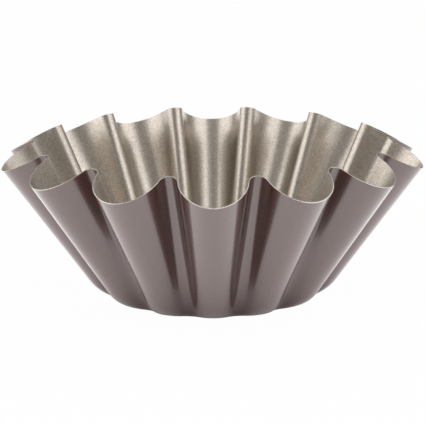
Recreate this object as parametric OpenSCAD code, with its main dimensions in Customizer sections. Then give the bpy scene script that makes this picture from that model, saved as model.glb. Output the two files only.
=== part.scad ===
// Fluted brioche mould, pressed from one sheet of coated steel.
// The origin is the centre of the flat base, on the table. +Z is up and one flute faces -Y.

/* [Mould] */
// Width across the tops of the flutes, at the rim
mould_d = 220; // [180:1:280]
// Height of the rim above the table, at the top of a flute
rim_h = 71.5; // [50:0.5:100]
// Number of flutes round the wall
flutes = 14; // [12:1:20]

/* [Flutes at the rim] */
// How far a flute's round face turns to each side of its middle, at the rim, in degrees
rim_wrap = 83; // [70:1:86]
// Radius of the crease between two flutes, at the rim
rim_crease_r = 4.4; // [2:0.1:8]
// Length of the straight side of a flute, at the rim
rim_flank = 2; // [0.5:0.1:6]

/* [Flutes at the base] */
// How far a flute's round face turns to each side of its middle, at the base, in degrees
base_wrap = 55; // [50:1:80]
// Diameter of the flat that the mould stands on
flat_d = 93; // [80:1:110]
// How far past the flat the line of a flute's wall meets the table
foot_reach = 12.5; // [10:0.5:25]
// Radius of the crease between two flutes, at the base
base_crease_r = 5; // [2:0.1:8]
// Length of the straight side of a flute, at the base
base_flank = 2; // [0.2:0.1:3]

/* [Sheet] */
// Thickness of the pressed steel
steel_t = 0.5; // [0.3:0.05:1]
// Thickness of the lacquer on the outside
outer_coat_t = 0.03; // [0.02:0.01:0.1]
// Thickness of the non-stick coating on the inside
inner_coat_t = 0.03; // [0.02:0.01:0.1]

/* [Hidden] */

// Segments of a flute's round face, from its middle to its side
lobe_steps = 4;
// Segments of a crease, from its side to its middle
crease_steps = 2;
// Segments of the rounded foot of the wall
foot_steps = 4;

flute_angle = 360 / flutes;
half_flute = flute_angle / 2;
flat_r = flat_d / 2;

// Depths below the outer face at which one layer of the sheet ends and the next begins
steel_outer = outer_coat_t;
steel_inner = steel_outer + steel_t;
cavity_face = steel_inner + inner_coat_t;

// Half a flute in plan, from the middle of its round face to the middle of the crease.
// The face, the straight side and the crease meet tangentially, which sets the face's radius.
function half_outline(top_r, crease_r, flank, wrap) =
    let (
        opening = wrap - half_flute,
        share = sin(half_flute) / sin(opening),
        lobe_r = (share * top_r - flank / tan(opening) - crease_r) / (1 + share),
        lobe_c = top_r - lobe_r,
        crease_c = (lobe_c * sin(wrap) - flank) / sin(opening)
    )
    concat(
        [for (i = [0:lobe_steps])
            let (a = wrap * i / lobe_steps)
            [lobe_c + lobe_r * cos(a), lobe_r * sin(a)]],
        [for (i = [0:crease_steps])
            let (a = wrap - opening * i / crease_steps)
            crease_c * [cos(half_flute), sin(half_flute)] - crease_r * [cos(a), sin(a)]]
    );

// A plan point turned about the axis
function turned(p, a) = [p.x * cos(a) - p.y * sin(a), p.x * sin(a) + p.y * cos(a)];

// The whole outline in plan, crease to crease for each flute
function outline(half) =
    let (last = len(half) - 1)
    [for (f = [0:flutes - 1], i = [-last:last - 1])
        turned([half[abs(i)].x, sign(i) * half[abs(i)].y], f * flute_angle - 90)];

base_half = half_outline(flat_r + foot_reach, base_crease_r, base_flank, base_wrap);
rim_half = half_outline(mould_d / 2, rim_crease_r, rim_flank, rim_wrap);
base_outline = outline(base_half);
rim_outline = outline(rim_half);
stations = len(rim_outline);

// The sheet is drawn from a round blank, so every line up the wall reaches equally far
// from the base's mean circle, and the rim stands higher in the creases than on the flutes.
base_mean_r = (base_half[0].x + norm(base_half[len(base_half) - 1])) / 2;
reach = norm([mould_d / 2 - base_mean_r, rim_h]);
function rim_z(r) = sqrt(reach ^ 2 - (r - base_mean_r) ^ 2);

// One line up the outer face, from the edge of the flat to the rim, as pairs of a point and
// the direction of the line there. The wall is straight, and an arc tangent to it and to the
// table rounds its foot.
function wall_line(foot, rim) =
    let (
        inward = -foot / norm(foot),
        up = (rim - foot) / norm(rim - foot),
        leg = norm(foot) - flat_r,
        corner = acos(inward * up),
        square = up - (up * inward) * inward,
        down = -square / norm(square),
        foot_r = leg * tan(corner / 2),
        centre = foot + leg * inward - foot_r * down
    )
    concat(
        [for (i = [0:foot_steps])
            let (a = (180 - corner) * i / foot_steps)
            [centre + foot_r * (down * cos(a) - inward * sin(a)), -inward * cos(a) - down * sin(a)]],
        [[rim, up]]
    );

wall_lines = [for (i = [0:stations - 1])
    wall_line(
        [base_outline[i].x, base_outline[i].y, 0],
        [rim_outline[i].x, rim_outline[i].y, rim_z(norm(rim_outline[i]))]
    )];
rows = len(wall_lines[0]);

// Unit vector into the sheet from the outer face
function into_sheet(row, i) =
    let (
        ahead = wall_lines[(i + 1) % stations][row][0],
        behind = wall_lines[(i + stations - 1) % stations][row][0],
        square = cross(wall_lines[i][row][1], ahead - behind)
    )
    square / norm(square);

// The points of the sheet at one depth below its outer face, row by row from the flat to the rim
function face_points(depth) =
    [for (row = [0:rows - 1], i = [0:stations - 1])
        wall_lines[i][row][0] + depth * into_sheet(row, i)];

// Two triangles for a four-sided cell, split from a to c or from b to d
function cell(a, b, c, d, a_to_c) = a_to_c ? [[a, b, c], [a, c, d]] : [[b, c, d], [b, d, a]];

// One layer of the sheet between two depths. The cells split the same way at every depth, so
// layers that share a depth lie face to face.
module layer(near, far) {
    near_point = function (row, i) row * stations + i % stations;
    far_point = function (row, i) (rows + row) * stations + i % stations;
    rising = function (i) i % (2 * (len(rim_half) - 1)) < len(rim_half) - 1;
    wall_cells = [for (row = [0:rows - 2], i = [0:stations - 1], side = [0, 1])
        let (
            point = side == 0 ? near_point : far_point,
            a = point(row, i),
            b = point(row + 1, i),
            c = point(row + 1, i + 1),
            d = point(row, i + 1)
        )
        each side == 0 ? cell(a, b, c, d, rising(i)) : cell(a, d, c, b, rising(i))];
    rim_cells = [for (i = [0:stations - 1])
        let (top = rows - 1)
        each cell(
            near_point(top, i), far_point(top, i), far_point(top, i + 1), near_point(top, i + 1),
            rising(i)
        )];
    near_flat = [for (i = [0:stations - 1]) near_point(0, i)];
    far_flat = [for (i = [stations - 1:-1:0]) far_point(0, i)];
    polyhedron(
        points = concat(face_points(near), face_points(far)),
        faces = concat(wall_cells, rim_cells, [near_flat, far_flat])
    );
}

// Glossy lacquer on the outside of the sheet
module outer_coating() {
    color([0.45, 0.38, 0.37]) layer(0, steel_outer);
}

// The pressed steel itself, bare at the cut edge of the rim
module steel_shell() {
    color([0.78, 0.77, 0.75]) layer(steel_outer, steel_inner);
}

// Champagne non-stick coating on the inside of the sheet
module inner_coating() {
    color([0.72, 0.67, 0.60]) layer(steel_inner, cavity_face);
}

outer_coating();
steel_shell();
inner_coating();
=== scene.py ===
"""A fluted brioche mould, pressed from one sheet of thin coated steel, on a pale studio floor.

The sheet has three layers, each a closed mesh of its own: the lacquer outside, the steel, and the
non-stick coating inside. All of them are offsets of one outer face, which a few sizes set.
"""

import logging
import math
from collections.abc import Sequence
from dataclasses import dataclass, field
from enum import Enum

import bmesh
import bpy
import numpy as np
from mathutils import Euler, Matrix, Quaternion, Vector


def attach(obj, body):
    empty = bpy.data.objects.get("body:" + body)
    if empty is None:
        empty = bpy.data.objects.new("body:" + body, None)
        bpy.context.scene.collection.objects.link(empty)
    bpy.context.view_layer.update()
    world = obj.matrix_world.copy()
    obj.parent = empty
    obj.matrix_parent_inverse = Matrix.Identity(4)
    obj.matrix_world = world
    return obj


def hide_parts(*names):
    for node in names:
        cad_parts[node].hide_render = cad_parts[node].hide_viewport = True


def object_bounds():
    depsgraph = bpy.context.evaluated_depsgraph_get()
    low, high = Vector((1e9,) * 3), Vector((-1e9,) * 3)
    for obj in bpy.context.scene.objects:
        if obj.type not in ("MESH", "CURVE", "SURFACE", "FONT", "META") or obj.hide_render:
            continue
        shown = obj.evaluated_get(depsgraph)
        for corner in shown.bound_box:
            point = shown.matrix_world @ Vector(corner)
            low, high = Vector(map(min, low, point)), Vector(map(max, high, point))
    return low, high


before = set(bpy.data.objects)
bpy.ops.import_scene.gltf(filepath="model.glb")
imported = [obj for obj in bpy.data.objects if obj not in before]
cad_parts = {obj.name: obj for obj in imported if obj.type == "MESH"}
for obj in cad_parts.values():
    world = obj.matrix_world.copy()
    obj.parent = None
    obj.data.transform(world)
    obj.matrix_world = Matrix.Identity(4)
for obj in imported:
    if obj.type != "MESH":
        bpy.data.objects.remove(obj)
cad_low, cad_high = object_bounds()

MM = 0.001
log = logging.getLogger("brioche_mould")

Colour = tuple[float, float, float]
Value = bpy.types.NodeSocket | float | Colour
WHITE: Colour = (1.0, 1.0, 1.0)


class Slot(Enum):
    """The record's material slots."""

    LACQUER = "outer_lacquer"
    STEEL = "bare_steel"
    NON_STICK = "non_stick"


class SheetMark(Enum):
    """Attributes that every layer's mesh carries, which place marks on the sheet."""

    UP = "up_sheet"
    ROUND = "round_sheet"


class MixOf(Enum):
    """What a Mix node mixes, with the places of its two inputs and its output for that."""

    NUMBERS = ("FLOAT", 2, 3, 0)
    COLOURS = ("RGBA", 6, 7, 2)


@dataclass(frozen=True)
class Steps:
    """How finely the sheet is divided, per half flute and from the axis to the rim."""

    lobe: int = 12
    flank: int = 2
    crease: int = 9
    flat: int = 6
    foot: int = 10
    wall: int = 12


@dataclass(frozen=True)
class FlutedLine:
    """A fluted outline in plan whose round faces, straight sides and creases meet tangentially."""

    top_r: float
    crease_r: float
    flank: float

    def half_flute(self, half_angle: float, wrap: float, steps: Steps) -> np.ndarray:
        """Points from the middle of a flute's round face to the middle of the crease.

        Args:
            half_angle: Half the angle of one flute about the axis, in radians.
            wrap: How far the round face turns to each side, in radians.
            steps: How finely the line is divided.

        Returns:
            An array of x and y, with x along the middle of the flute.
        """
        opening = wrap - half_angle
        share = math.sin(half_angle) / math.sin(opening)
        lobe_r = (share * self.top_r - self.flank / math.tan(opening) - self.crease_r) / (1 + share)
        lobe_c = self.top_r - lobe_r
        crease_c = (lobe_c * math.sin(wrap) - self.flank) / math.sin(opening)
        lobe_turn = np.linspace(0.0, wrap, steps.lobe + 1)
        lobe = np.stack([lobe_c + lobe_r * np.cos(lobe_turn), lobe_r * np.sin(lobe_turn)], axis=1)
        crease_turn = np.linspace(wrap, half_angle, steps.crease + 1)
        middle = crease_c * np.array([math.cos(half_angle), math.sin(half_angle)])
        crease = middle - self.crease_r * np.stack([np.cos(crease_turn), np.sin(crease_turn)], axis=1)
        share_along = np.linspace(0.0, 1.0, steps.flank + 1)[1:-1, None]
        side = lobe[-1] * (1 - share_along) + crease[0] * share_along
        return np.concatenate([lobe, side, crease])


@dataclass
class PressedSheet:
    """The outer face of the mould and the layers under it. Lengths are in metres."""

    width: float
    flute_rim_z: float = 71.5 * MM
    flutes: int = 14
    rim_wrap: float = math.radians(83)
    rim_crease_r: float = 4.4 * MM
    rim_flank: float = 2 * MM
    flat_r: float = 46.5 * MM
    foot_reach: float = 12.5 * MM
    base_wrap: float = math.radians(55)
    base_crease_r: float = 5 * MM
    base_flank: float = 2 * MM
    steel: float = 0.5 * MM
    outer_coat: float = 0.03 * MM
    inner_coat: float = 0.03 * MM
    steps: Steps = field(default_factory=Steps)

    def __post_init__(self) -> None:
        """Works out the outlines, the lines from the axis to the rim, and the normals."""
        half_angle = math.pi / self.flutes
        rim = FlutedLine(self.width / 2, self.rim_crease_r, self.rim_flank)
        base = FlutedLine(self.flat_r + self.foot_reach, self.base_crease_r, self.base_flank)
        base_half = base.half_flute(half_angle, self.base_wrap, self.steps)
        rim_plan = self.outline(rim.half_flute(half_angle, self.rim_wrap, self.steps))
        base_plan = self.outline(base_half)
        mean_r = (base_half[0, 0] + np.linalg.norm(base_half[-1])) / 2
        reach = math.hypot(self.width / 2 - mean_r, self.flute_rim_z)
        rim_r = np.linalg.norm(rim_plan, axis=1)
        rim_z = np.sqrt(reach**2 - (rim_r - mean_r) ** 2)
        self.foot_corner = np.column_stack([base_plan, np.zeros(len(base_plan))])
        self.rim_line = np.column_stack([rim_plan, rim_z])
        self.points, self.along = self.lines_up()
        ahead = np.roll(self.points, -1, axis=1) - np.roll(self.points, 1, axis=1)
        self.inward = unit(np.cross(self.along, ahead))

    def outline(self, half: np.ndarray) -> np.ndarray:
        """The whole outline in plan, crease to crease for each flute, the first one facing -Y.

        Args:
            half: Half a flute, from the middle of its round face to the middle of the crease.

        Returns:
            An array of x and y, with one row for each station round the mould.
        """
        flute = np.concatenate([half[:0:-1] * [1, -1], half[:-1]])
        turns = np.arange(self.flutes) * 2 * math.pi / self.flutes - math.pi / 2
        cos, sin = np.cos(turns)[:, None], np.sin(turns)[:, None]
        x, y = flute[:, 0], flute[:, 1]
        return np.stack([x * cos - y * sin, x * sin + y * cos], axis=-1).reshape(-1, 2)

    def lines_up(self) -> tuple[np.ndarray, np.ndarray]:
        """Lines on the outer face from near the axis to the rim.

        Each runs along the flat, round an arc at the foot that is tangent to the flat and to the
        wall, and straight up the wall.

        Returns:
            The points and the directions of the lines there, both by row and station.
        """
        foot, rim = self.foot_corner, self.rim_line
        inward, up = unit(-foot), unit(rim - foot)
        leg = np.linalg.norm(foot, axis=1, keepdims=True) - self.flat_r
        cos_corner = np.sum(inward * up, axis=1, keepdims=True)
        corner = np.arccos(cos_corner)
        down = -unit(up - cos_corner * inward)
        foot_r = leg * np.tan(corner / 2)
        centre = foot + leg * inward - foot_r * down
        points, along = [], []
        for share in np.linspace(0.0, 1.0, self.steps.flat + 1)[1:-1]:
            points.append(-inward * self.flat_r * share)
            along.append(-inward)
        for share in np.linspace(0.0, 1.0, self.steps.foot + 1):
            turn = (math.pi - corner) * share
            points.append(centre + foot_r * (down * np.cos(turn) - inward * np.sin(turn)))
            along.append(-inward * np.cos(turn) - down * np.sin(turn))
        wall_start = points[-1]
        for share in np.linspace(0.0, 1.0, self.steps.wall + 1)[1:]:
            points.append(wall_start * (1 - share) + rim * share)
            along.append(up)
        return np.array(points), np.array(along)

    def face(self, depth: float) -> np.ndarray:
        """The points of the sheet at one depth below its outer face, by row and station."""
        return self.points + depth * self.inward

    def up_marks(self) -> np.ndarray:
        """How far each point is from the axis, measured along the sheet.

        Returns:
            The distances in metres, by row and station.
        """
        first = np.linalg.norm(self.points[0], axis=1)
        steps = np.linalg.norm(np.diff(self.points, axis=0), axis=2)
        return np.concatenate([first[None], first[None] + np.cumsum(steps, axis=0)])


def unit(vectors: np.ndarray) -> np.ndarray:
    """Vectors of length one, along the last axis."""
    return vectors / np.linalg.norm(vectors, axis=-1, keepdims=True)


def facing(azimuth: float, elevation: float, distance: float) -> Vector:
    """A place by its degrees round the mould (0 at -Y, 90 at +X), its degrees up and its distance."""
    a, e = math.radians(azimuth), math.radians(elevation)
    return distance * Vector((math.sin(a) * math.cos(e), -math.cos(a) * math.cos(e), math.sin(e)))


def looking_back(away: Vector, roll: float) -> Euler:
    """How a lamp or camera is turned to face the point it stands away from, and rolled in degrees."""
    own_turn = Quaternion((0.0, 0.0, 1.0), math.radians(roll))
    return ((-away).to_track_quat("-Z", "Y") @ own_turn).to_euler()


def in_scene(name: str, data: bpy.types.ID) -> bpy.types.Object:
    """A new object, linked into the scene.

    Args:
        name: The object's name.
        data: Its mesh, lamp or camera.

    Returns:
        The object.
    """
    thing = bpy.data.objects.new(name, data)
    bpy.context.scene.collection.objects.link(thing)
    return thing


def mesh_in_scene(
    name: str, points: Sequence[Sequence[float]], faces: Sequence[Sequence[int]]
) -> bpy.types.Object:
    """A mesh object, linked into the scene.

    Args:
        name: The name of the object and its mesh.
        points: The place of each point, in metres.
        faces: The numbers of each face's points, in order.

    Returns:
        The object.
    """
    mesh = bpy.data.meshes.new(name)
    mesh.from_pydata(points, [], faces)
    return in_scene(name, mesh)


class Nodes:
    """Adds nodes to a tree and links them, so that a finish reads as a list of steps."""

    COLUMNS = 8
    SPACING = (180, -220)

    def __init__(self, tree: bpy.types.NodeTree) -> None:
        """Starts from an empty tree."""
        self.tree = tree
        tree.nodes.clear()

    def add(self, kind: str, **settings: object) -> bpy.types.Node:
        """A new node, laid out in rows after the ones before it.

        Args:
            kind: The node's type in Blender.
            **settings: Values for some of its properties.

        Returns:
            The node.
        """
        node = self.tree.nodes.new(kind)
        row, column = divmod(len(self.tree.nodes), self.COLUMNS)
        node.location = (self.SPACING[0] * column, self.SPACING[1] * row)
        for name, value in settings.items():
            setattr(node, name, value)
        return node

    def link(self, source: bpy.types.NodeSocket, target: bpy.types.NodeSocket) -> None:
        """Joins an output to an input."""
        self.tree.links.new(source, target)

    def feed(self, value: Value, socket: bpy.types.NodeSocket) -> None:
        """Links an output to an input, or sets the input.

        Args:
            value: An output, a number or a colour, which is set without transparency.
            socket: The input.
        """
        if isinstance(value, bpy.types.NodeSocket):
            self.link(value, socket)
        elif isinstance(value, tuple):
            socket.default_value = (*value, 1.0)
        else:
            socket.default_value = value

    def mark(self, mark: SheetMark) -> bpy.types.NodeSocket:
        """The value of one of the sheet's marks."""
        return self.add("ShaderNodeAttribute", attribute_name=mark.value).outputs["Fac"]

    def place(self) -> bpy.types.NodeSocket:
        """Where the surface is, in metres from the object's origin."""
        return self.add("ShaderNodeTexCoord").outputs["Object"]

    def math(self, operation: str, first: Value, second: Value) -> bpy.types.NodeSocket:
        """A calculation with two values.

        Args:
            operation: What a Math node does with them.
            first: A number or an output.
            second: A number or an output.

        Returns:
            The result.
        """
        node = self.add("ShaderNodeMath", operation=operation)
        for socket, value in zip(node.inputs, (first, second)):
            self.feed(value, socket)
        return node.outputs[0]

    def noise(self, place: bpy.types.NodeSocket, scale: Value, detail: float) -> bpy.types.NodeSocket:
        """Soft noise with values from 0 to 1.

        Args:
            place: Where on it the surface is.
            scale: How many times the place is enlarged first.
            detail: How many finer layers it has.

        Returns:
            The value.
        """
        node = self.add("ShaderNodeTexNoise")
        for label, value in (("Vector", place), ("Scale", scale), ("Detail", detail)):
            self.feed(value, node.inputs[label])
        return node.outputs[0]

    def mix(self, of: MixOf, share: Value, low: Value, high: Value) -> bpy.types.NodeSocket:
        """A value mixed from two.

        Args:
            of: What is mixed.
            share: The share of the second, from 0 to 1.
            low: The first.
            high: The second.

        Returns:
            The mixed value.
        """
        data_type, low_place, high_place, result = of.value
        node = self.add("ShaderNodeMix", data_type=data_type)
        for value, place in ((share, 0), (low, low_place), (high, high_place)):
            self.feed(value, node.inputs[place])
        return node.outputs[result]

    def blend(self, share: Value, low: Value, high: Value) -> bpy.types.NodeSocket:
        """A colour mixed from two, by a share from 0 to 1."""
        return self.mix(MixOf.COLOURS, share, low, high)

    def between(self, share: Value, low: Value, high: Value) -> bpy.types.NodeSocket:
        """A number mixed from two, by a share from 0 to 1."""
        return self.mix(MixOf.NUMBERS, share, low, high)

    def spread(
        self, value: Value, low: float, high: float, start: float = 0.0, end: float = 1.0
    ) -> bpy.types.NodeSocket:
        """A value spread over another range, and held at its ends.

        Args:
            value: A number or an output.
            low: The result at the start of the value's range, and before it.
            high: The result at the end of the value's range, and after it.
            start: The start of the value's range.
            end: The end of the value's range.

        Returns:
            The result.
        """
        node = self.add("ShaderNodeMapRange")
        self.feed(value, node.inputs["Value"])
        for label, limit in (("From Min", start), ("From Max", end), ("To Min", low), ("To Max", high)):
            node.inputs[label].default_value = limit
        return node.outputs[0]

    def mix_shaders(
        self, share: bpy.types.NodeSocket, first: bpy.types.NodeSocket, second: bpy.types.NodeSocket
    ) -> bpy.types.NodeSocket:
        """A shader mixed from two.

        Args:
            share: The share of the second, from 0 to 1.
            first: The first shader.
            second: The second shader.

        Returns:
            The mixed shader.
        """
        node = self.add("ShaderNodeMixShader")
        for place, source in enumerate((share, first, second)):
            self.link(source, node.inputs[place])
        return node.outputs[0]

    def show(self, shader: bpy.types.NodeSocket, output: str = "ShaderNodeOutputMaterial") -> None:
        """Links a shader to an output node of its own, which ends the tree."""
        self.link(shader, self.add(output).inputs["Surface"])

    def give(self, **results: bpy.types.NodeSocket) -> None:
        """Ends a group with its results.

        Args:
            **results: Each result by the label of the group's output.
        """
        ending = self.add("NodeGroupOutput")
        for label, source in results.items():
            self.link(source, ending.inputs[label])


def new_group(name: str, inputs: dict[str, float], outputs: tuple[str, ...]) -> bpy.types.NodeTree:
    """An empty shader node group with named number sockets.

    Args:
        name: The group's name.
        inputs: Each input's name and usual value.
        outputs: The outputs' names.

    Returns:
        The group.
    """
    group = bpy.data.node_groups.new(name, "ShaderNodeTree")
    for label, value in inputs.items():
        socket = group.interface.new_socket(label, in_out="INPUT", socket_type="NodeSocketFloat")
        socket.default_value = value
    for label in outputs:
        group.interface.new_socket(label, in_out="OUTPUT", socket_type="NodeSocketFloat")
    return group


def new_material(name: str) -> tuple[bpy.types.Material, Nodes]:
    """A material whose nodes are still to be added.

    Args:
        name: The material's name.

    Returns:
        The material, and what adds nodes to it.
    """
    material = bpy.data.materials.new(name)
    material.use_nodes = True
    return material, Nodes(material.node_tree)


class SurfaceEffects:
    """The node groups that the finishes share."""

    GRAIN_DETAIL = 2.0
    LINE_DETAIL = 3.0
    RAGGED_SCALE = 900.0
    RAGGED_DETAIL = 2.0

    def __init__(self, rim: float) -> None:
        """Builds each group once.

        Args:
            rim: How far the cut rim is from the axis, measured along the sheet, in metres.
        """
        self.grain = self.build_grain()
        self.draw_lines = self.build_draw_lines()
        self.rim_wear = self.build_rim_wear(rim)

    def build_grain(self) -> bpy.types.NodeTree:
        """Fine grain of the baked film, with flakes that differ in brightness.

        Returns:
            The group, which takes the size of a grain in metres.
        """
        group = new_group("film_grain", {"Size": 0.5 * MM}, ("Grain", "Flakes"))
        nodes = Nodes(group)
        given = nodes.add("NodeGroupInput")
        place = nodes.place()
        per_metre = nodes.math("DIVIDE", 1.0, given.outputs["Size"])
        cells = nodes.add("ShaderNodeTexVoronoi")
        nodes.link(place, cells.inputs["Vector"])
        nodes.link(per_metre, cells.inputs["Scale"])
        flakes = nodes.add("ShaderNodeSeparateColor")
        nodes.link(cells.outputs["Color"], flakes.inputs[0])
        nodes.give(Grain=nodes.noise(place, per_metre, self.GRAIN_DETAIL), Flakes=flakes.outputs[0])
        return group

    def build_draw_lines(self) -> bpy.types.NodeTree:
        """Faint lines up the sheet, left where it was drawn over the press tool.

        Returns:
            The group, which takes the lines per turn and the changes per metre of a line.
        """
        group = new_group("draw_lines", {"Across": 900.0, "Along": 14.0}, ("Lines",))
        nodes = Nodes(group)
        given = nodes.add("NodeGroupInput")
        across = nodes.math("MULTIPLY", nodes.mark(SheetMark.ROUND), given.outputs["Across"])
        along = nodes.math("MULTIPLY", nodes.mark(SheetMark.UP), given.outputs["Along"])
        place = nodes.add("ShaderNodeCombineXYZ")
        nodes.link(across, place.inputs["X"])
        nodes.link(along, place.inputs["Y"])
        nodes.give(Lines=nodes.noise(place.outputs[0], 1.0, self.LINE_DETAIL))
        return group

    def build_rim_wear(self, rim: float) -> bpy.types.NodeTree:
        """A mask that is 1 at the cut rim and breaks up over a width below it.

        Args:
            rim: How far the cut rim is from the axis, measured along the sheet, in metres.

        Returns:
            The group, which takes the width in metres and how much of it breaks up.
        """
        group = new_group("rim_wear", {"Rim": rim, "Width": 0.5 * MM, "Break Up": 0.6}, ("Worn",))
        nodes = Nodes(group)
        given = nodes.add("NodeGroupInput")
        below = nodes.math("SUBTRACT", given.outputs["Rim"], nodes.mark(SheetMark.UP))
        share = nodes.math("DIVIDE", below, given.outputs["Width"])
        noise = nodes.noise(nodes.place(), self.RAGGED_SCALE, self.RAGGED_DETAIL)
        ragged = nodes.math("MULTIPLY", noise, given.outputs["Break Up"])
        worn = nodes.math("SUBTRACT", nodes.math("SUBTRACT", 1.0, share), ragged)
        clamp = nodes.add("ShaderNodeClamp")
        nodes.link(worn, clamp.inputs["Value"])
        nodes.give(Worn=clamp.outputs[0])
        return group


@dataclass(frozen=True)
class RimWear:
    """The thin ragged line at the cut rim where a coating has worn to bare metal."""

    metal: Colour
    width: float = 0.5 * MM
    break_up: float = 0.6


class FinishTree:
    """A material with a Principled BSDF and the nodes that lead into it."""

    def __init__(self, name: str, colour: Colour, effects: SurfaceEffects) -> None:
        """Makes the material and its shader.

        Args:
            name: The material's name.
            colour: Its plain colour for a viewport.
            effects: The effects that the finishes share.
        """
        self.material, self.nodes = new_material(name)
        self.material.diffuse_color = (*colour, 1.0)
        self.effects = effects
        self.shader = self.nodes.add("ShaderNodeBsdfPrincipled")
        self.nodes.show(self.shader.outputs[0])

    def effect(self, group: bpy.types.NodeTree, **values: float) -> bpy.types.Node:
        """A shared effect placed in this material with its own values.

        Args:
            group: The effect's group.
            **values: The inputs' values by label, with _ for a space.

        Returns:
            The group's node.
        """
        node = self.nodes.add("ShaderNodeGroup", node_tree=group)
        for label, value in values.items():
            node.inputs[label.replace("_", " ")].default_value = value
        return node

    def draw_lines(self, across: float, along: float) -> bpy.types.NodeSocket:
        """The lines of drawing, with so many in a turn and so many changes in a metre."""
        return self.effect(self.effects.draw_lines, Across=across, Along=along).outputs["Lines"]

    def paint(self, film: bpy.types.NodeSocket, wear: RimWear) -> None:
        """Colours the surface as a film that is worn at the cut rim.

        Args:
            film: The film's colour.
            wear: How it is worn.
        """
        mask = self.effect(self.effects.rim_wear, Width=wear.width, Break_Up=wear.break_up)
        painted = self.nodes.blend(mask.outputs["Worn"], film, wear.metal)
        self.nodes.link(painted, self.shader.inputs["Base Color"])

    def roughen(self, value: bpy.types.NodeSocket, middle: float, swing: float) -> None:
        """Lets the roughness swing to each side of its middle as a value goes from 0 to 1."""
        roughness = self.nodes.spread(value, middle - swing, middle + swing)
        self.nodes.link(roughness, self.shader.inputs["Roughness"])

    def bump(self, height: bpy.types.NodeSocket, depth: float) -> None:
        """Raises the surface.

        Args:
            height: How high it is raised, from 0 to 1.
            depth: What a height of 1 is in metres.
        """
        node = self.nodes.add("ShaderNodeBump")
        node.inputs["Distance"].default_value = depth
        self.nodes.link(height, node.inputs["Height"])
        self.nodes.link(node.outputs[0], self.shader.inputs["Normal"])

    def settle(self, values: dict[str, float | Colour]) -> None:
        """Sets the shader's own sockets to what is the same all over, each by its label."""
        for label, value in values.items():
            self.nodes.feed(value, self.shader.inputs[label])


@dataclass(frozen=True)
class LacquerFinish:
    """Smooth glossy mauve-brown lacquer baked on the outside."""

    colour: Colour = (0.070, 0.014, 0.008)
    shade: Colour = (0.055, 0.010, 0.005)
    mirror_tint: Colour = (1.0, 0.972, 0.962)
    coat_tint: Colour = (1.0, 0.965, 0.955)
    ior: float = 1.85
    roughness: float = 0.28
    roughness_swing: float = 0.02
    coat: float = 0.65
    coat_roughness: float = 0.08
    peel_size: float = 2.4 * MM
    peel_depth: float = 0.003 * MM
    lines_across: float = 420.0
    lines_along: float = 18.0
    wear: RimWear = RimWear(metal=(0.75, 0.72, 0.68))

    def build(self, effects: SurfaceEffects) -> bpy.types.Material:
        """The material, with orange peel, faint draw lines and a thin worn edge at the rim.

        Args:
            effects: The effects that the finishes share.

        Returns:
            The material.
        """
        tree = FinishTree("mauve_lacquer", self.colour, effects)
        lines = tree.draw_lines(self.lines_across, self.lines_along)
        peel = tree.effect(effects.grain, Size=self.peel_size).outputs["Grain"]
        tree.paint(tree.nodes.blend(lines, self.shade, self.colour), self.wear)
        tree.roughen(peel, self.roughness, self.roughness_swing)
        tree.bump(peel, self.peel_depth)
        tree.settle({
            "IOR": self.ior,
            "Specular Tint": self.mirror_tint,
            "Coat Weight": self.coat,
            "Coat Roughness": self.coat_roughness,
            "Coat Tint": self.coat_tint,
        })
        return tree.material


@dataclass(frozen=True)
class NonStickFinish:
    """Champagne non-stick film with a fine sparkling grain, baked on the inside."""

    colour: Colour = (0.48, 0.432, 0.378)
    flake: Colour = (0.74, 0.668, 0.587)
    pore: Colour = (0.27, 0.243, 0.212)
    speck_share: float = 0.5
    metallic: float = 1.0
    roughness: float = 0.34
    roughness_swing: float = 0.08
    grain_size: float = 0.42 * MM
    grain_depth: float = 0.035 * MM
    lines_across: float = 900.0
    lines_along: float = 14.0
    wear: RimWear = RimWear(metal=(0.80, 0.78, 0.74))

    def build(self, effects: SurfaceEffects) -> bpy.types.Material:
        """The material, with grain, flakes, draw lines and a thin worn edge at the rim.

        Args:
            effects: The effects that the finishes share.

        Returns:
            The material.
        """
        tree = FinishTree("champagne_non_stick", self.colour, effects)
        nodes = tree.nodes
        film = tree.effect(effects.grain, Size=self.grain_size)
        grain = film.outputs["Grain"]
        lines = tree.draw_lines(self.lines_across, self.lines_along)
        speck = nodes.blend(film.outputs["Flakes"], self.pore, self.flake)
        tree.paint(nodes.blend(self.speck_share, self.colour, speck), self.wear)
        mean = nodes.math("MULTIPLY", nodes.math("ADD", grain, lines), 0.5)
        tree.roughen(mean, self.roughness, self.roughness_swing)
        tree.bump(grain, self.grain_depth)
        tree.settle({"Metallic": self.metallic})
        return tree.material


@dataclass(frozen=True)
class BareSteelFinish:
    """The cut edge of the sheet, bright and finely scratched."""

    colour: Colour = (0.80, 0.78, 0.74)
    dull: Colour = (0.62, 0.59, 0.55)
    metallic: float = 1.0
    roughness: float = 0.32
    roughness_swing: float = 0.10
    grain_size: float = 0.3 * MM
    lines_across: float = 2600.0
    lines_along: float = 40.0
    line_depth: float = 0.01 * MM

    def build(self, effects: SurfaceEffects) -> bpy.types.Material:
        """The material, with the short lines that shearing leaves.

        Args:
            effects: The effects that the finishes share.

        Returns:
            The material.
        """
        tree = FinishTree("sheared_steel", self.colour, effects)
        lines = tree.draw_lines(self.lines_across, self.lines_along)
        grain = tree.effect(effects.grain, Size=self.grain_size).outputs["Grain"]
        tree.nodes.link(tree.nodes.blend(lines, self.dull, self.colour), tree.shader.inputs["Base Color"])
        tree.roughen(grain, self.roughness, self.roughness_swing)
        tree.bump(lines, self.line_depth)
        tree.settle({"Metallic": self.metallic})
        return tree.material


Finish = LacquerFinish | NonStickFinish | BareSteelFinish


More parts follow.
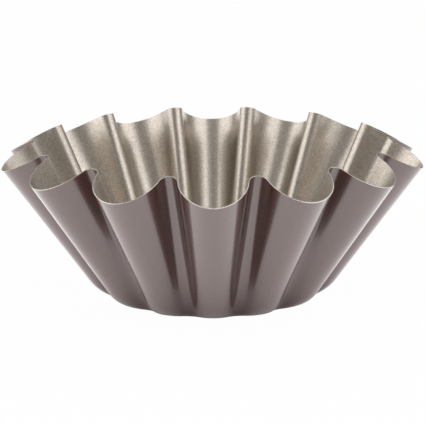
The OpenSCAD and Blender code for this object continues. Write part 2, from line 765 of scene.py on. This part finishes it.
@dataclass
class SheetLayer:
    """One layer of the sheet as a closed mesh between two depths below the outer face."""

    name: str
    node: str
    slot: Slot
    finish: Finish
    near: float
    far: float
    sheet: PressedSheet
    edge_round: float = 0.25
    corner_cut: float = 0.3

    @property
    def lip(self) -> float:
        """How far the two lips of the cut edge are rounded, in metres."""
        return (self.far - self.near) * self.edge_round

    def edge_rows(self) -> list[np.ndarray]:
        """The rows of points across the cut edge.

        Returns:
            The rows, from the near face to the far one.
        """
        thick = self.far - self.near
        cut = self.lip * self.corner_cut
        rim, inward, down = self.sheet.points[-1], self.sheet.inward[-1], -self.sheet.along[-1]
        places = ((cut, cut), (self.lip, 0.0), (thick - self.lip, 0.0), (thick - cut, cut))
        return [rim + (self.near + depth) * inward + drop * down for depth, drop in places]

    def rows(self) -> list[np.ndarray]:
        """All the rows of points round the layer.

        Returns:
            The rows, up the near face, across the cut edge and down the far face.
        """
        near, far = self.sheet.face(self.near), self.sheet.face(self.far)
        for face in (near, far):
            face[-1] -= self.lip * self.sheet.along[-1]
        return [*near, *self.edge_rows(), *far[::-1]]

    @staticmethod
    def faces(rows: int, stations: int) -> list[tuple[int, ...]]:
        """Four-sided faces between the rows, and a fan at each end of them.

        Args:
            rows: How many rows there are. The middles of the two fans are the points after them.
            stations: How many points a row has.

        Returns:
            The numbers of each face's points.
        """
        pairs = [(i, (i + 1) % stations) for i in range(stations)]
        top = (rows - 1) * stations
        faces = []
        for low in range(0, top, stations):
            high = low + stations
            faces += [(low + i, low + j, high + j, high + i) for i, j in pairs]
        near_middle, far_middle = top + stations, top + stations + 1
        for i, j in pairs:
            faces += [(near_middle, j, i), (far_middle, top + i, top + j)]
        return faces

    def add_marks(self, mesh: bpy.types.Mesh) -> None:
        """Stores how far up and round the sheet each point is, for the finishes.

        Args:
            mesh: The layer's mesh.
        """
        up = self.sheet.up_marks()
        up = np.concatenate([up, [up[-1]] * len(self.edge_rows()), up[::-1]])
        stations = up.shape[1]
        turn = np.broadcast_to(np.arange(stations) / stations, up.shape)
        for mark, values in ((SheetMark.UP, up), (SheetMark.ROUND, turn)):
            attribute = mesh.attributes.new(mark.value, "FLOAT", "POINT")
            with_middles = np.append(values, [0.0, 0.0])
            attribute.data.foreach_set("value", with_middles.astype(np.float32))

    def soften(self, mesh: bpy.types.Mesh) -> None:
        """Shades the layer smooth and keeps the lines of its cut edge crisp.

        Args:
            mesh: The layer's mesh.
        """
        near_rows, stations = self.sheet.points.shape[:2]
        crisp = {near_rows - 1, near_rows + len(self.edge_rows())}
        edit = bmesh.new()
        edit.from_mesh(mesh)
        for face in edit.faces:
            face.smooth = True
        for edge in edit.edges:
            rows = {vertex.index // stations for vertex in edge.verts}
            if len(rows) == 1 and rows <= crisp:
                edge.smooth = False
        edit.to_mesh(mesh)
        edit.free()

    def build(self, effects: SurfaceEffects) -> bpy.types.Object:
        """Makes the layer's object, dresses it and puts it in the place of its CAD node.

        Args:
            effects: The effects that the finishes share.

        Returns:
            The object.
        """
        rows = self.rows()
        middles = [[0.0, 0.0, self.near], [0.0, 0.0, self.far]]
        points = np.concatenate([*rows, middles])
        piece = mesh_in_scene(self.name, points.tolist(), self.faces(len(rows), len(rows[0])))
        self.add_marks(piece.data)
        self.soften(piece.data)
        piece.data.materials.append(self.finish.build(effects))
        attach(piece, "root")
        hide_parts(self.node)
        return piece


@dataclass
class BriocheMould:
    """The whole mould: three layers of one pressed sheet."""

    sheet: PressedSheet

    def layers(self) -> tuple[SheetLayer, ...]:
        """The layers of the sheet.

        Returns:
            The layers, from the outside in, each starting where the one before it ends.
        """
        steel_near = self.sheet.outer_coat
        steel_far = steel_near + self.sheet.steel
        inside = steel_far + self.sheet.inner_coat
        return (
            SheetLayer("lacquer_outside", "outer_coating", Slot.LACQUER, LacquerFinish(),
                       0.0, steel_near, self.sheet),
            SheetLayer("pressed_steel", "steel_shell", Slot.STEEL, BareSteelFinish(),
                       steel_near, steel_far, self.sheet),
            SheetLayer("non_stick_inside", "inner_coating", Slot.NON_STICK, NonStickFinish(),
                       steel_far, inside, self.sheet),
        )

    def build(self) -> list[bpy.types.Object]:
        """The pieces of all the layers, from the outside in."""
        effects = SurfaceEffects(float(self.sheet.up_marks()[-1].max()))
        return [layer.build(effects) for layer in self.layers()]


@dataclass(frozen=True)
class PaperFloor:
    """A wide ring of pale paper that starts just under the mould's base.

    The camera sees it as white, and so does the gloss, but in the gloss it has a painted shadow close
    to the foot, where the mould keeps the light off it, painted shade that dims it towards the mould,
    and a painted tint of light bounced off the lacquer.
    """

    outer_r: float = 6.0
    sides: int = 96
    gap: float = 0.05 * MM
    lap: float = 1 * MM
    paper: Colour = (0.86, 0.86, 0.86)
    camera_glow: float = 0.98
    gloss_glow: float = 1.66
    # Painted tint of light bounced off the lacquer, on the paper near the mould in gloss.
    painted_bounce_tint: Colour = (1.0, 0.955, 0.965)
    # Painted shade: in gloss the paper dims towards the mould, from the first share at the first distance
    # to the second share at the second.
    painted_dim_from_to: tuple[float, float] = (55 * MM, 145 * MM)
    painted_dim_share: tuple[float, float] = (0.88, 1.07)
    # Painted shadow in gloss close to the foot: half as bright at this radius, falling with this power.
    painted_shadow_r: float = 61.6 * MM
    painted_shadow_fall: float = 9.5

    def build(self, base_r: float) -> None:
        """Lays the paper.

        Args:
            base_r: The radius of the flat that stands on the floor.
        """
        turn = np.linspace(0.0, 2 * math.pi, self.sides, endpoint=False)
        ring = np.column_stack([np.cos(turn), np.sin(turn), np.zeros(self.sides)])
        points = np.concatenate([ring * (base_r - self.lap), ring * self.outer_r])
        pairs = [(i, (i + 1) % self.sides) for i in range(self.sides)]
        faces = [(i, self.sides + i, self.sides + j, j) for i, j in pairs]
        floor = mesh_in_scene("studio_floor", points.tolist(), faces)
        floor.location.z = -self.gap
        floor.data.materials.append(self.make_paper())

    def make_paper(self) -> bpy.types.Material:
        """White on rays from the camera and off gloss, with painted shade near the mould in gloss, pale on
        the others, and clear from below.

        Returns:
            The material.
        """
        material, nodes = new_material("white_paper")
        paper = nodes.add("ShaderNodeBsdfDiffuse")
        nodes.feed(self.paper, paper.inputs["Color"])
        path = nodes.add("ShaderNodeLightPath")
        in_gloss = nodes.math("MAXIMUM", path.outputs["Is Glossy Ray"], path.outputs["Is Transmission Ray"])
        in_camera = nodes.math("MULTIPLY", path.outputs["Is Camera Ray"], self.camera_glow)
        glow = self.add_glow(nodes, in_gloss)
        above = nodes.mix_shaders(nodes.math("MAXIMUM", in_camera, in_gloss), paper.outputs[0], glow)
        from_below = nodes.add("ShaderNodeNewGeometry").outputs["Backfacing"]
        clear = nodes.add("ShaderNodeBsdfTransparent").outputs[0]
        nodes.show(nodes.mix_shaders(from_below, above, clear))
        return material

    def add_glow(self, nodes: Nodes, in_gloss: bpy.types.NodeSocket) -> bpy.types.NodeSocket:
        """The white of the paper, which in gloss carries a painted shadow, painted shade and a painted tint
        towards the mould.

        Args:
            nodes: The paper's nodes.
            in_gloss: 1 on the rays off gloss and through glass, and 0 on the others.

        Returns:
            Its shader.
        """
        from_axis = nodes.add("ShaderNodeVectorMath", operation="LENGTH")
        nodes.link(nodes.place(), from_axis.inputs[0])
        distance = from_axis.outputs["Value"]
        # Painted shadow: the paper in gloss darkens close to the foot, by its distance from the axis.
        painted_shadow_ratio = nodes.math("POWER", nodes.math("DIVIDE", distance, self.painted_shadow_r), self.painted_shadow_fall)
        contact = nodes.math("DIVIDE", painted_shadow_ratio, nodes.math("ADD", painted_shadow_ratio, 1.0))
        # Painted shade: the paper in gloss dims towards the mould.
        away = nodes.spread(distance, 0.0, 1.0, *self.painted_dim_from_to)
        light = nodes.math("MULTIPLY", contact, nodes.spread(away, *self.painted_dim_share))
        strength = nodes.math("MULTIPLY", light, self.gloss_glow)
        glow = nodes.add("ShaderNodeEmission")
        # Painted tint of light bounced off the lacquer, seen in gloss near the mould.
        plain = nodes.between(in_gloss, 1.0, away)
        nodes.link(nodes.blend(plain, self.painted_bounce_tint, WHITE), glow.inputs["Color"])
        nodes.link(nodes.between(in_gloss, 1.0, strength), glow.inputs["Strength"])
        return glow.outputs[0]


@dataclass(frozen=True)
class SoftBox:
    """A rectangular lamp that faces the mould, with its width and height in metres.

    Its azimuth, its elevation and the tilt of its width from level are in degrees. A glow of 1
    is as bright as white paper.
    """

    name: str
    azimuth: float
    elevation: float
    width: float
    height: float
    tilt: float
    glow: float
    distance: float = 2.0

    def build(self) -> None:
        """Hangs the lamp."""
        lamp = bpy.data.lights.new(self.name, "AREA")
        lamp.shape = "RECTANGLE"
        lamp.size, lamp.size_y = self.width, self.height
        lamp.energy = self.glow * math.pi * self.width * self.height
        box = in_scene(self.name, lamp)
        box.location = facing(self.azimuth, self.elevation, self.distance)
        box.rotation_euler = looking_back(box.location, self.tilt)


@dataclass(frozen=True)
class DimRoom:
    """A card all round the mould, between two elevations in degrees, that only the gloss sees."""

    name: str = "dim_room"
    radius: float = 3.0
    azimuths: tuple[float, float] = (-180, 180)
    elevations: tuple[float, float] = (3, 80)
    columns: int = 36
    rows: int = 8
    glow: Colour = (0.37, 0.36, 0.35)

    def build(self) -> None:
        """Bends the card round the mould and hides it from all but the gloss."""
        points = [
            facing(azimuth, elevation, self.radius)
            for elevation in np.linspace(*self.elevations, self.rows)
            for azimuth in np.linspace(*self.azimuths, self.columns)
        ]
        faces = [
            (low + i, low + i + 1, low + self.columns + i + 1, low + self.columns + i)
            for low in range(0, (self.rows - 1) * self.columns, self.columns)
            for i in range(self.columns - 1)
        ]
        card = mesh_in_scene(self.name, points, faces)
        card.visible_camera = False
        card.visible_diffuse = False
        card.visible_shadow = False
        material, nodes = new_material(self.name)
        emission = nodes.add("ShaderNodeEmission")
        nodes.feed(self.glow, emission.inputs["Color"])
        nodes.show(emission.outputs[0])
        card.data.materials.append(material)


@dataclass(frozen=True)
class PhotoCamera:
    """The photograph's camera, in front of the mould and a little above it.

    Its angles are in degrees, and its sensor is in millimetres. It aims at a point below the
    height of the rim at the flutes.
    """

    azimuth: float = -0.30
    elevation: float = 13.98
    distance: float = 0.887
    roll: float = -0.32
    focal_pixels: float = 1682.9
    photo_pixels: int = 425
    sensor: float = 36.0
    aim_below_rim: float = 28.98 * MM
    aim_right: float = 0.01 * MM
    clip_from_to: tuple[float, float] = (0.05, 30.0)

    def build(self, rim_z: float) -> None:
        """Sets up the camera.

        Args:
            rim_z: The height of the rim at the flutes.
        """
        data = bpy.data.cameras.new("camera")
        data.sensor_fit = "HORIZONTAL"
        data.sensor_width = self.sensor
        data.lens = self.focal_pixels / self.photo_pixels * self.sensor
        data.clip_start, data.clip_end = self.clip_from_to
        camera = in_scene("camera", data)
        away = facing(self.azimuth, self.elevation, self.distance)
        camera.location = Vector((self.aim_right, 0.0, rim_z - self.aim_below_rim)) + away
        camera.rotation_euler = looking_back(away, self.roll)
        bpy.context.scene.camera = camera


@dataclass(frozen=True)
class Studio:
    """The pale floor, the soft light, the dim room that the gloss sees, and the camera."""

    floor: PaperFloor = PaperFloor()
    air: float = 0.24
    right: SoftBox = SoftBox("soft_box_right", azimuth=76, elevation=46, width=3.0, height=1.6,
                             tilt=12, glow=1.45)
    left: SoftBox = SoftBox("soft_box_left", azimuth=-84, elevation=28, width=3.1, height=2.1,
                            tilt=-38, glow=1.42)
    room: DimRoom = DimRoom()
    above: SoftBox = SoftBox("soft_box_above", azimuth=0, elevation=90, width=0.7, height=0.7,
                             tilt=0, glow=2.0)
    camera: PhotoCamera = PhotoCamera()

    def build(self, rim_z: float, base_r: float) -> None:
        """Sets up the whole studio.

        Args:
            rim_z: The height of the rim at the flutes, which the camera's aim is measured from.
            base_r: The radius of the flat that stands on the floor.
        """
        bpy.context.scene.view_settings.view_transform = "Standard"
        self.floor.build(base_r)
        self.set_world()
        for part in (self.right, self.left, self.room, self.above):
            part.build()
        self.camera.build(rim_z)

    def set_world(self) -> None:
        """Fills the air with soft light from all round, and shows it as white."""
        world = bpy.data.worlds.new("studio_air")
        bpy.context.scene.world = world
        world.use_nodes = True
        nodes = Nodes(world.node_tree)
        air = nodes.add("ShaderNodeBackground")
        nodes.feed(WHITE, air.inputs["Color"])
        path = nodes.add("ShaderNodeLightPath")
        seen = nodes.math("ADD", path.outputs["Is Camera Ray"], path.outputs["Is Glossy Ray"])
        seen = nodes.math("ADD", seen, path.outputs["Is Transmission Ray"])
        seen = nodes.math("MINIMUM", seen, 1.0)
        nodes.link(nodes.spread(seen, self.air, 1.0), air.inputs["Strength"])
        nodes.show(air.outputs[0], "ShaderNodeOutputWorld")


def main() -> None:
    """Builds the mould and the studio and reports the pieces."""
    logging.basicConfig(level=logging.INFO)
    sheet = PressedSheet(width=cad_high.y - cad_low.y)
    for piece in BriocheMould(sheet).build():
        log.info("built %s with %d faces", piece.name, len(piece.data.polygons))
    Studio().build(sheet.flute_rim_z, sheet.flat_r)


if __name__ == "__main__":
    main()
